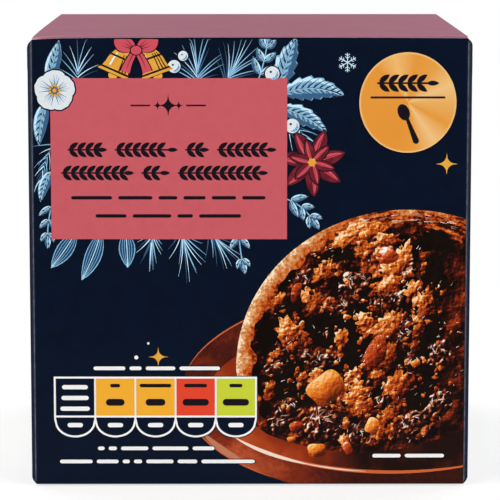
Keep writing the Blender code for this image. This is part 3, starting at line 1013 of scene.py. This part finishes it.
def pudding():
    """The cut pudding: the shaded side, the skin as a band round the cut, the crumb with its hollows, and the
    fruit, peel and crumbs on it."""
    way = np.linspace(180, 60, 60)
    us, tops = pudding_outline(way, 0)
    keep = us <= SIDE_U
    us, tops = us[keep], tops[keep]
    us, tops = np.append(us, SIDE_U), np.append(tops, tops[-1] - 0.4)
    feet = 6.2 + 0.012 * (us - 60) ** 2 + 4.5 * np.clip((44 - us) / 7, 0, 1) ** 2
    lay("pudding side", "front", between(us, np.minimum(feet, tops - 0.05), tops, 24), 3, 0.5)

    way = np.linspace(205, 68, 90)
    share = np.linspace(0, 1, 90)
    depth = 3.4 + 3.6 * share**1.5 + 0.35 * np.sin(share * 40) + 0.3 * np.sin(share * 23 + 1)
    t = np.linspace(0, 1, 9)
    skin = [pudding_outline(way[:, None], depth[:, None] * t[None, :])[axis] for axis in (0, 1)]
    lay("pudding skin", "front", (*skin, np.repeat(share[:, None], 9, 1), np.repeat(t[None], 90, 0)), 4, 0.5)

    lay("pudding crumb", "front", crumb_field(), 5, 0.5)

    for u, v, radius, stretch, turn in (
        (46.0, 21.6, 2.6, 1.7, 70), (54.6, 29.2, 3.6, 1.7, -8), (59.6, 34.6, 4.2, 1.2, 70), (46.4, 32.4, 1.6, 2.0, 52),
        (67.6, 24.0, 2.4, 1.2, -40), (48.5, 16.5, 2.0, 1.6, 10), (55.8, 43.0, 1.7, 2.0, 14), (66.8, 34.4, 1.6, 1.9, -35),
        (71.5, 17.6, 2.6, 2.2, 84), (62.5, 16.0, 1.6, 1.5, 20), (57.6, 22.0, 2.2, 1.4, 60), (73.8, 45.0, 1.9, 2.0, -8),
        (73.4, 38.2, 2.2, 1.8, 84), (73.2, 26.2, 2.4, 2.2, 84), (59.6, 25.8, 2.0, 1.4, 10),
    ):
        lay("hollow", "front", disc(u, v, radius, stretch, turn, 12, uneven(0.14, (3, 5, 8, 13))), 6)

    for u, v, radius, stretch, turn in (
        (60.4, 47.0, 1.9, 2.2, 8), (61.0, 43.8, 1.6, 1.3, 0), (64.6, 45.4, 1.3, 2.0, 6), (67.9, 42.2, 1.5, 1.9, 80),
        (65.6, 39.9, 1.4, 1.9, 16), (65.3, 37.2, 1.8, 1.3, 20), (69.3, 36.0, 1.6, 1.3, 60), (71.4, 33.0, 1.8, 2.0, 80),
        (70.2, 29.6, 1.2, 1.5, 70), (56.6, 27.4, 1.2, 1.6, 80), (61.2, 30.4, 1.7, 1.2, -30), (65.1, 29.6, 2.2, 1.5, 40),
        (65.7, 24.4, 1.0, 2.4, 84), (47.7, 28.1, 2.3, 1.5, -42), (51.3, 34.4, 1.7, 1.6, -60), (52.2, 20.9, 1.0, 1.3, 20),
        (59.1, 20.6, 1.3, 1.1, 40), (59.4, 17.5, 2.1, 1.2, 10), (60.6, 14.3, 1.9, 1.3, 0), (66.8, 18.0, 2.2, 1.8, 60),
        (65.4, 12.9, 1.5, 1.3, 60), (57.2, 11.6, 1.1, 1.1, 0), (43.6, 17.4, 1.0, 2.2, 84), (44.9, 24.4, 1.0, 1.3, 20),
        (53.6, 39.8, 1.5, 1.8, 30), (49.6, 20.2, 0.9, 1.3, 15), (57.4, 8.2, 1.0, 1.5, 100), (62.0, 36.0, 0.8, 1.4, 10),
        (64.2, 9.6, 1.2, 1.3, 80), (45.2, 34.4, 0.9, 1.9, 58), (63.4, 20.4, 1.1, 1.4, -20), (57.2, 45.6, 1.1, 2.2, 22),
    ):
        lay("crumbs", "front", disc(u, v, radius, stretch, turn, 12, uneven(0.13, (3, 5, 9, 14))), 7)

    raisins = (
        (59.3, 37.0, 2.8, 1.15, 30), (53.4, 11.2, 3.4, 1.2, 60), (45.6, 11.4, 2.1, 1.1, 0), (60.0, 9.8, 1.8, 1.2, 60),
        (53.2, 23.4, 1.7, 1.6, -8), (68.4, 28.2, 1.3, 2.4, 80), (64.2, 15.6, 1.3, 1.4, 30), (47.0, 14.4, 1.9, 1.4, 15),
        (63.4, 33.4, 1.2, 1.6, -35), (44.6, 21.8, 1.4, 1.6, 12), (69.6, 23.0, 1.4, 1.5, 100), (69.6, 11.4, 2.2, 1.4, 40),
        (74.4, 15.2, 2.2, 1.5, 60), (74.8, 24.8, 1.8, 1.5, 60), (66.6, 34.6, 1.3, 1.7, -20), (49.8, 38.4, 1.3, 1.8, 48),
        (68.9, 39.6, 1.2, 1.6, 70), (50.2, 24.2, 1.2, 1.5, -10), (56.4, 33.6, 1.3, 1.5, 60),
    )
    for u, v, radius, stretch, turn in raisins:
        lay("raisins", "front", disc(u, v, radius, stretch, turn, 12, uneven(0.08, (3, 5, 8))), 8)
        for _ in range(int(4 * radius)):
            way, out = DICE.uniform(40, 210), radius * DICE.uniform(0.2, 0.85)
            at = (u + out * math.cos(math.radians(way)), v + out * math.sin(math.radians(way)))
            long, curl = DICE.uniform(0.4, 0.9) * (0.5 + 0.4 * radius), DICE.uniform(-90, 40)
            line = needle(*at, long, 0.14, way - 70 + DICE.uniform(-30, 30), curl)
            lay("glint" if DICE.random() < 0.4 else "soft glint", "front", line, 10)

    def blocky(angle):
        return (np.cos(angle) ** 4 + np.sin(angle) ** 4) ** -0.25 * (1 + 0.05 * np.sin(3 * angle + 1))

    lay("peel", "front", disc(53.9, 18.2, 2.6, 1.28, 42, 12, blocky), 10, 0.55)
    for u, v, radius, stretch, turn in (
        (52.2, 6.6, 1.25, 1.3, 5), (62.4, 11.2, 1.2, 1.2, 70), (60.9, 46.4, 0.8, 1.4, 20), (70.2, 22.8, 0.65, 1.3, 30),
        (57.9, 15.2, 0.8, 1.3, 0), (47.6, 8.6, 0.55, 1.4, 10),
    ):
        lay("peel", "front", disc(u, v, radius, stretch, turn, 8, blocky), 9)
    for u, v, radius, stretch, turn in (
        (62.9, 24.8, 1.8, 1.8, 68), (57.9, 6.9, 0.8, 1.7, 110), (64.8, 42.6, 1.5, 1.4, -10), (48.4, 35.8, 0.9, 2.2, 76),
        (48.6, 10.9, 1.1, 1.3, 0),
    ):
        lay("cherry", "front", disc(u, v, radius, stretch, turn, 12, uneven(0.05, (3, 4))), 9)
    scatter_grains()


def scatter_grains():
    """Small loose crumbs, and wet lights as short fine strokes, over the whole cut and along the skin's top."""
    for _ in range(300):
        u, v = DICE.uniform(43, 77), DICE.uniform(8.5, 47)
        if ((u - 60.5) / 17) ** 2 + ((v - 25) / 21) ** 2 > 1:
            continue
        name = "crumbs" if DICE.random() < 0.65 else "raisins"
        size, stretch, turn = DICE.uniform(0.15, 0.55), DICE.uniform(1, 1.8), DICE.uniform(0, 180)
        lay(name, "front", disc(u, v, size, stretch, turn, 4, uneven(0.16, (2, 3, 5))), 9)
    for _ in range(230):
        u, v = DICE.uniform(43, 79), DICE.uniform(8, 48)
        if ((u - 61) / 18) ** 2 + ((v - 26) / 22) ** 2 > 1:
            continue
        heading, turn = DICE.uniform(10, 90), DICE.uniform(-60, 60)
        line = needle(u, v, DICE.uniform(0.25, 0.8), DICE.uniform(0.07, 0.13), heading, turn)
        lay("glint" if DICE.random() < 0.35 else "soft glint", "front", line, 10)
    for _ in range(26):
        way, inset = DICE.uniform(74, 112), DICE.uniform(0.6, 2.3)
        u, v = pudding_outline(way, inset)
        line = needle(u, v, DICE.uniform(0.5, 1.6), 0.1, way - 90 + DICE.uniform(-6, 6), -3)
        lay("glint" if DICE.random() < 0.35 else "soft glint", "front", line, 10)


def label_text(panel, left, bottom):
    """The greeked words on a rose label whose lower left corner is here: an ornament, two bold lines and two
    fine lines."""
    ink = "lettering black"
    words(ink, panel, left + 14.4, bottom + 24.6, 0.28, (3.6,), layer=12)
    words(ink, panel, left + 24.4, bottom + 24.6, 0.28, (3.6,), layer=12)
    star(ink, panel, left + 21.2, bottom + 24.6, 2.0, 12)
    for side in (-1.9, 1.9):
        star(ink, panel, left + 21.2 + side, bottom + 24.6, 0.9, 12)
    for row, start, lengths in ((16.6, 3.0, (7.2, 11.4, 4.4, 10.8)), (12.4, 1.8, (13.2, 5.2, 16.4))):
        u = left + start
        for length in lengths:
            sprig(ink, panel, u, bottom + row, length, 1.12)
            u += length + 1.3
    words(ink, panel, left + 3.6, bottom + 7.9, 0.62, (7.4, 6.2, 3.4, 4.0, 4.4, 4.2), 1.1)
    words(ink, panel, left + 8.0, bottom + 4.6, 0.62, (5.6, 7.0, 2.8, 7.6), 1.1)


def rose_label(panel, left, bottom, width, height, layer=11):
    lay("label rose", panel, rectangle(left, bottom, width, height, 12, 16), layer, 0.5)


def medal(panel, u, v):
    """A gold medal with a greeked word over a rule, and a dessert spoon under it."""
    lay("cell navy", panel, disc(u, v, 9.2, 0.965, 0, 24), 11)
    lay("medal foil", panel, disc(u, v, 9.05, 0.965, 0, 24), 12, 0)
    ink = "lettering black"
    sprig(ink, panel, u - 5.6, v + 3.5, 11.2, 1.3, 13)
    lay(ink, panel, rectangle(u - 6.7, v + 0.75, 13.4, 0.36), 13)
    handle = arc_path(u + 1.5, v - 6.9, 4.6, 112, 0, 8)
    lay(ink, panel, ribbon(handle, np.linspace(0.55, 0.26, 9)), 13)
    lay(ink, panel, disc(u + 1.5, v - 6.9, 0.55, cells=4), 13)
    lay(ink, panel, disc(u - 0.75, v - 1.75, 1.05, 1.45, 112), 13)


def nutrition_table(panel):
    """Five cells with round feet in white lines. Bars stand for the words and numbers in them."""
    left, pitch, top, waist, foot = 4.4, 7.34, 20.35, 12.95, 9.05
    line, edge = 0.36, 0.14
    inks = ("cell navy", "cell amber", "cell amber", "cell red", "cell green")
    swing = np.linspace(-1, 1, 25)

    def cup(middle, half, low):
        return between(middle + half * swing, waist - (waist - low) * np.sqrt(1 - 0.995 * swing**2) ** 0.8, waist + 0 * swing, 4)

    for name, grow, layer in (("cell navy", edge, 11), ("line white", 0, 12)):
        width = 5 * pitch + line + 2 * grow
        lay(name, panel, rectangle(left - line / 2 - grow, waist - line / 2, width, top - waist + line / 2 + grow), layer)
    for number, name in enumerate(inks):
        cell = left + number * pitch
        middle = cell + pitch / 2
        lay("cell navy", panel, cup(middle, pitch / 2 + line / 2 + edge, foot - edge), 11)
        lay("line white", panel, cup(middle, pitch / 2 + line / 2, foot), 12)
        lay("cell navy", panel, cup(middle, pitch / 2 - line / 2, foot + line), 13)
        lay(name, panel, rectangle(cell + line / 2, waist + line / 2, pitch - line, top - waist - 1.5 * line), 13)
        lay("line white", panel, rectangle(cell + line / 2, waist - line / 2, pitch - line, line), 14)
        text = "line white" if number == 0 else "lettering black"
        if number == 0:
            for v, half in ((18.4, 2.35), (16.4, 2.5), (14.4, 2.7)):
                words(text, panel, middle - half, v, 0.8, (2 * half,), layer=14)
        else:
            half = (0.9, 2.9, 2.1, 1.2)[number - 1]
            words(text, panel, middle - half, 18.7, 0.65, (2 * half,), layer=14)
            half = (1.7, 1.8, 2.4, 2.4)[number - 1]
            words(text, panel, middle - half, 15.6, 1.25, (2 * half,), layer=14)
        words("line white", panel, middle - 1.4, 11.35, 0.8, (2.8,), layer=14)


def small_print(panel, left, v, height, lengths, gap=0.75):
    """A line of white words with a thin dark edge."""
    for name, grow, layer in (("cell navy", 0.14, 11), ("line white", 0, 12)):
        u = left
        for length in lengths:
            lay(name, panel, bar(u - grow, v, length + 2 * grow, height + 2 * grow), layer)
            u += length + gap


def front_print():
    plate()
    pudding()
    nutrition_table("front")
    small_print("front", 11.5, 21.9, 0.68, (5.8, 2.2, 5.4, 7.4))
    small_print("front", 12.2, 7.0, 0.68, (1.2, 1.5, 5.0, 6.6, 4.0))
    small_print("front", 5.2, 4.55, 0.68, (6.0, 4.0, 1.3, 1.5, 5.0, 3.6, 9.8))
    small_print("front", 62.4, 5.6, 0.68, (5.2, 7.2))
    medal("front", 68.4, 70.4)
    star("gold", "front", 75.5, 59.3, 2.0)
    star("gold", "front", 23.3, 24.0, 1.8)
    lay("line white", "front", disc(19.3, 23.9, 0.36, cells=4), 5)
    lay("line white", "front", disc(21.5, 26.5, 0.22, cells=4), 5)
    rose_label("front", 4.1, 45.65, 42.6, 29.15)
    label_text("front", 4.1, 45.3)
    front_botanicals()


def front_botanicals():
    """The winter greenery round the front's label."""
    panel = "front"
    spray(panel, 30.5, 74.0, 88, 52, 16, 7.0)
    spray(panel, 35.5, 74.0, 58, 42, 14, 7.6)
    spray(panel, 9.0, 74.4, 86, 50, 10, 6.0)
    twig(panel, 41.5, 74.5, 6.5, 70, 12, 3, 3.2, 1.4)
    leaf(panel, 45.0, 73.0, 9.6, 4.6, 74, -8, 3, veins=7, teeth=5)
    leaf(panel, 46.0, 72.0, 11.2, 4.8, 22, -46, 5, veins=9, teeth=6)
    leaf(panel, 45.5, 69.4, 9.4, 3.8, -12, -30, 3, veins=8, teeth=5)
    fir(panel, 46, 68, 7.5, -38, -16, 9, 5.2)
    twig(panel, 46.5, 53, 6.0, -20, -35, 3, 3.0, 1.3)
    bell(panel, 17.6, 80.3, 5.2, -24, 2)
    bell(panel, 21.6, 80.3, 5.2, 20, 3)
    bow(panel, 19.6, 79.8, 4.2)
    berry(panel, 26.4, 76.9, 1.15)
    berry(panel, 28.0, 78.8, 0.9)
    poinsettia(panel, 51.2, 59.6, 6.2, 5)
    berry(panel, 47.6, 66.2, 1.3)
    berry(panel, 44.0, 75.6, 1.3, 9)
    snow_rose(panel, 4.9, 72.6, 3.7, 12)
    leaf(panel, 3.6, 74.5, 7.5, 2.6, 68, 10, 2)
    leaf(panel, 3.4, 70.5, 8.0, 2.6, -112, 24, 2)
    fir(panel, 4.6, 63.0, 7, -118, 16, 9, 3.2)
    leaf(panel, 4.2, 58.0, 6.0, 2.0, -125, 30, 2)
    twig(panel, 4.4, 52.5, 6.5, -108, 18, 3, 2.8, 1.1)
    for u, length, heading, turn in ((8.5, 8.0, -120, -10), (13.0, 9.5, -104, -16), (17.5, 6.5, -84, -6)):
        lined_leaf(panel, u, 46.9, length, 3.0, heading, turn, 2)
    for u, heading, reach in ((22.5, -98, 5.2), (27.5, -76, 7.4), (32.5, -50, 7.0)):
        spray(panel, u, 47.2, heading, 34, 12, reach)
    twig(panel, 38.0, 46.9, 5.5, -88, 10, 2, 2.8, 1.2)
    snowflake(panel, 57.5, 77.6, 1.7)


# --------------------------------------------------------------------------------------------------- the carton

board_inside = bare_board("greyback board", "A59E94", "8F877C", 0.4)
board_edge = bare_board("cut edge of the board", "CFC9BF", "B7AFA3", 0.2)
navy_board = printed("navy ink on carton board", "020F24", worn_navy_with_highlight)
# The lids' rose is darker and greyer than the label's rose: painted shade and sheen on the top.
rose_board = printed("rose ink on carton board with painted shade", "B5808C", worn_rose_with_painted_light, roughness=0.5, specular=0.1)

sleeve = make_sleeve([navy_board, board_inside, board_edge])
top_lid = make_lid("top_lid", [rose_board, board_inside, board_edge], True)
base_lid = make_lid("base_lid", [rose_board, board_inside, board_edge], False)
for board in (sleeve, top_lid, base_lid):
    # Each board gets its crease lines of rubbed ink and painted highlight.
    mark_wear_and_highlight(board, 0 if board is sleeve else BOARD + SLOT_WIDTH)
    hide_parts("carton")


# ------------------------------------------------------------------------------------------ sides and back print


def paragraph(name, panel, left, right, top, rows, pitch=1.7, height=0.44, layer=12):
    """Rows of small greeked words, ragged on the right, the last row short."""
    for row in range(rows):
        u = left
        end = right - DICE.uniform(0, 3) - (right - left) * 0.45 * (row == rows - 1)
        while u < end - 1.5:
            length = min(DICE.uniform(1.2, 4.8), end - u)
            lay(name, panel, bar(u, top - row * pitch, max(length, height * 1.2), height), layer)
            u += length + 0.7


def garland(panel, left, right, v, way, layer=1):
    """Greenery side by side along an edge: firs, leaves and twigs in turn, which lean out from the middle."""
    middle = (left + right) / 2
    for number, u in enumerate(np.arange(left, right, 4.6)):
        lean = (u - middle) / (right - left) * 70 * (-1 if way > 0 else 1) + DICE.uniform(-10, 10)
        size = DICE.uniform(0.85, 1.15)
        if number % 3 == 0:
            fir(panel, u, v, 7.0 * size, way + lean, -lean * 0.3, 11, 4.6 * size, 46, layer)
        elif number % 3 == 1:
            leaf(panel, u, v, 9.0 * size, 3.2 * size, way + lean, -lean * 0.3, layer + 2, veins=8)
        else:
            twig(panel, u, v, 7.5 * size, way + lean, -lean * 0.4, 3, 3.2, 1.3, layer)


def side_print(panel, flipped):
    """A side wall: greenery at its top, a rose panel with greeked lines, small print, stars and a table."""
    garland(panel, 4, 78, 82.5, -90)
    for u, v, size in ((16, 76.5, 1.2), (19, 78.6, 1.0), (61, 77.5, 1.2), (64, 75.4, 0.95)):
        berry(panel, u, v, size, 7)
    rose_label(panel, 9, 52.5, 62, 10)
    star("lettering black", panel, 40, 57.5, 2.2, 12)
    for left in (13, 46):
        sprig("lettering black", panel, left, 58.8, 20.5, 0.75)
        paragraph("lettering black", panel, left, left + 21, 55.8, 1)
    for left in (9, 41.5):
        words("line white", panel, left, 48.2, 0.85, (8.5, 6.0), 0.9)
        paragraph("line white", panel, left, left + 29.5, 45.6, 8 if flipped else 10)
    if flipped:
        cream_table(panel, 9, 8, 62, 20)
    else:
        star("gold", panel, 13.5, 17.5, 1.9)
        star("gold", panel, 66.5, 12.5, 2.2)
        snow_rose(panel, 40, 14.5, 4.6, 7)
        for way, turn in ((170, 10), (205, -12), (-25, 12), (10, -10)):
            leaf(panel, 40 + 3 * math.cos(math.radians(way)), 14 + 2 * math.sin(math.radians(way)), 10, 3.4, way, turn, 2)
        fir(panel, 44, 16.5, 8, 24, -14, 11, 4.2)
        fir(panel, 36, 16.5, 8, 156, 14, 11, 4.2)


def cream_table(panel, left, bottom, width, height):
    """A pale table of values: a dark head row and thin rules, with greeked words and plain bars."""
    lay("panel cream", panel, rectangle(left, bottom, width, height, 6, 12), 11, 0.5)
    lay("cell navy", panel, rectangle(left + 0.8, bottom + height - 3.8, width - 1.6, 3.0, 1, 6), 12)
    for u in (0.06, 0.44, 0.74):
        paragraph("line white", panel, left + width * u, left + width * (u + 0.22), bottom + height - 2.3, 1, layer=13)
    for row in range(7):
        v = bottom + height - 5.4 - 2.05 * row
        for u, share in ((0.04, 0.3), (0.46, 0.12), (0.76, 0.12)):
            length = width * share * DICE.uniform(0.6, 1)
            lay("lettering black", panel, bar(left + width * u, v, length, 0.62), 12)
        lay("lettering black", panel, rectangle(left + 0.8, v - 1.05, width - 1.6, 0.1), 12)


def back_print():
    """The back: greenery round a tall rose panel with an ornament, greeked lines and two small pictures."""
    panel = "back"
    garland(panel, 6, 76, 82.5, -90)
    garland(panel, 8, 76, -0.5, 90)
    rose_label(panel, 12, 15, 56, 54)
    label_text(panel, 18.5, 36)
    paragraph("lettering black", panel, 16.5, 63.5, 38.2, 6)
    for number, u in enumerate((27.0, 40.0, 53.0)):
        lay("panel cream", panel, disc(u, 21.6, 4.3, cells=16), 12)
        lay("cell navy", panel, disc(u, 21.6, 3.9, cells=16), 13)
        clock_face(panel, u, 21.6, 3.0, 60 + 100 * number)
    snow_rose(panel, 12.8, 68.2, 4.2, 12)
    berry(panel, 67.5, 16.0, 1.3, 12)
    berry(panel, 69.6, 18.2, 1.0, 12)
    poinsettia(panel, 67.0, 67.5, 5.6, 12)
    star("gold", panel, 74.3, 44, 2.0)
    star("gold", panel, 6.2, 36, 1.7)
    lay("line white", panel, disc(74.5, 49.2, 0.35, cells=4), 5)
    lay("line white", panel, disc(5.6, 41.5, 0.3, cells=4), 5)


def clock_face(panel, u, v, radius, last):
    """A plain timer: twelve ticks and two hands."""
    for hour in range(12):
        way = math.radians(30 * hour)
        foot = (u + 0.82 * radius * math.cos(way), v + 0.82 * radius * math.sin(way))
        lay("panel cream", panel, stroke(arc_path(*foot, 0.18 * radius, 30 * hour, 0, 2), 0.2), 14)
    lay("panel cream", panel, stroke(arc_path(u, v, 0.62 * radius, 90, 0, 2), 0.34), 14)
    lay("gold", panel, stroke(arc_path(u, v, 0.5 * radius, 90 - last, 0, 2), 0.4), 14)


front_print()
side_print("right", False)
side_print("left", True)
back_print()
for film in INKS.values():
    if film.points:
        film.make()

# --------------------------------------------------------------------------------------------------- the studio


def softbox(name, azimuth, elevation, distance, size, power):
    """A square lamp that faces the carton. The azimuth is measured from the front towards the right."""
    light = bpy.data.lights.new(name, "AREA")
    light.shape = "SQUARE"
    light.size = size
    light.energy = power
    lamp = bpy.data.objects.new(name, light)
    around, up = math.radians(azimuth), math.radians(elevation)
    way = Vector((math.sin(around) * math.cos(up), -math.cos(around) * math.cos(up), math.sin(up)))
    lamp.location = way * distance + Vector((0, 0, MIDDLE))
    lamp.rotation_euler = way.to_track_quat("Z", "Y").to_euler()
    bpy.context.scene.collection.objects.link(lamp)


def white_world():
    """A white studio: full white where the camera sees it, and dimmer where it lights the carton, the more so
    on the front's side."""
    world = bpy.data.worlds.new("studio")
    world.use_nodes = True
    tree = world.node_tree
    seen = add(tree, "LightPath").outputs["Is Camera Ray"]
    way = add(tree, "SeparateXYZ", {0: add(tree, "TexCoord").outputs["Generated"]}).outputs[1]
    behind = add(tree, "MapRange", {0: way, 1: -0.2, 2: 0.5, 3: FRONT_LIGHT, 4: BACK_LIGHT}).outputs[0]
    strength = add(tree, "Mix", {0: seen, 2: behind, 3: 1.0}).outputs[0]
    tree.links.new(strength, tree.nodes["Background"].inputs["Strength"])
    tree.nodes["Background"].inputs["Color"].default_value = (1, 1, 1, 1)
    bpy.context.scene.world = world


def make_floor():
    """A pale round table top just under the carton, which fades into the white round it."""
    material = bpy.data.materials.new("matt white table")
    material.use_nodes = True
    tree = material.node_tree
    shader = tree.nodes["Principled BSDF"]
    place = add(tree, "TexCoord").outputs["Object"]
    radius = add(tree, "VectorMath", {0: place}, operation="LENGTH").outputs["Value"]
    edge = add(tree, "MapRange", {0: radius, 1: 0.05, 2: FLOOR_RADIUS, 3: FLOOR_GLOW, 4: 1.0}).outputs[0]
    seen = add(tree, "LightPath").outputs["Is Camera Ray"]
    glow = add(tree, "Math", {0: edge, 1: seen}, operation="MULTIPLY").outputs[0]
    base = add(tree, "MapRange", {0: radius, 1: 0.05, 2: FLOOR_RADIUS, 3: 0.4, 4: 0.0}).outputs[0]
    tint = add(tree, "CombineColor", {0: base, 1: base, 2: base}).outputs[0]
    tree.links.new(tint, shader.inputs["Base Color"])
    shader.inputs["Emission Color"].default_value = (1, 1, 1, 1)
    tree.links.new(glow, shader.inputs["Emission Strength"])
    shader.inputs["Roughness"].default_value = 0.9
    shader.inputs["Specular IOR Level"].default_value = 0.0
    turn = np.linspace(0, 2 * np.pi, 97)[None, :]
    reach = np.linspace(0.0001, FLOOR_RADIUS, 3)[:, None]
    level = np.full((3, 97), -0.05 * MM)
    points = np.stack([reach * np.cos(turn), reach * np.sin(turn), level], axis=-1).reshape(-1, 3)
    mesh = bpy.data.meshes.new("floor")
    mesh.from_pydata(points, [], grid_faces(2, 96)[:, ::-1])
    mesh.materials.append(material)
    floor = bpy.data.objects.new("floor", mesh)
    bpy.context.scene.collection.objects.link(floor)


FRONT_LIGHT, BACK_LIGHT = 0.05, 0.28
FLOOR_RADIUS, FLOOR_GLOW = 0.22, 0.64

white_world()
make_floor()
softbox("left softbox", -57, 18, 1.1, 0.9, 12.1)
softbox("right softbox", 57, 18, 1.1, 0.9, 12.1)
softbox("top softbox", 0, 80, 1.1, 0.9, 0.8)
softbox("back left softbox", -140, 28, 1.1, 0.9, 6.5)
softbox("back right softbox", 140, 28, 1.1, 0.9, 6.5)

lens = bpy.data.cameras.new("camera")
lens.lens = 190.2
lens.sensor_width = 36
lens.clip_start, lens.clip_end = 0.05, 5
camera = bpy.data.objects.new("camera", lens)
camera.location = (-1.52 * MM, -514 * MM, 110.33 * MM)
camera.rotation_euler = (math.radians(90 - 8.01), 0, math.radians(-0.185))
bpy.context.scene.collection.objects.link(camera)
bpy.context.scene.camera = camera
bpy.context.scene.view_settings.view_transform = "Standard"
